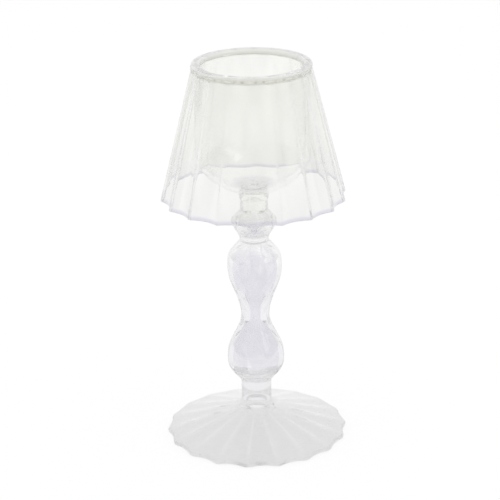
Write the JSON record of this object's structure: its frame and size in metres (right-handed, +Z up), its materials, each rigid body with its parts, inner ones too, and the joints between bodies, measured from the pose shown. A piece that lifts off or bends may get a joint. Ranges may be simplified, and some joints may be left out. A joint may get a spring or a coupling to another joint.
{
  "type": "candle lamp",
  "caption": "Clear glass candle lamp: a fluted foot, a stem of blown bulbs, a round-bottomed candle cup and a fluted lift-off shade that rests on the cup's lip.",
  "frame": {"origin": "middle of the flat ring under the foot", "axes": "+Z up along the stem, +X to the right and -Y towards the viewer in the picture"},
  "size_m": [0.1016, 0.1018, 0.215],
  "materials": {
    "foot_glass": "polished clear glass",
    "stem_glass": "polished clear glass",
    "cup_glass": "polished clear glass",
    "shade_glass": "polished clear glass"
  },
  "bodies": {
    "holder": {"foot": "foot_glass", "lower_neck": "stem_glass", "lower_bulb": "stem_glass", "upper_bulb": "stem_glass", "knop": "stem_glass", "neck_ring": "stem_glass", "candle_cup": "cup_glass"},
    "shade": {"shade": "shade_glass"}
  },
  "joints": [
    {"name": "shade_lift", "type": "slide", "parent": "holder", "child": "shade", "axis": [0, 0, 1], "range_m": [0, 0.08]}
  ]
}
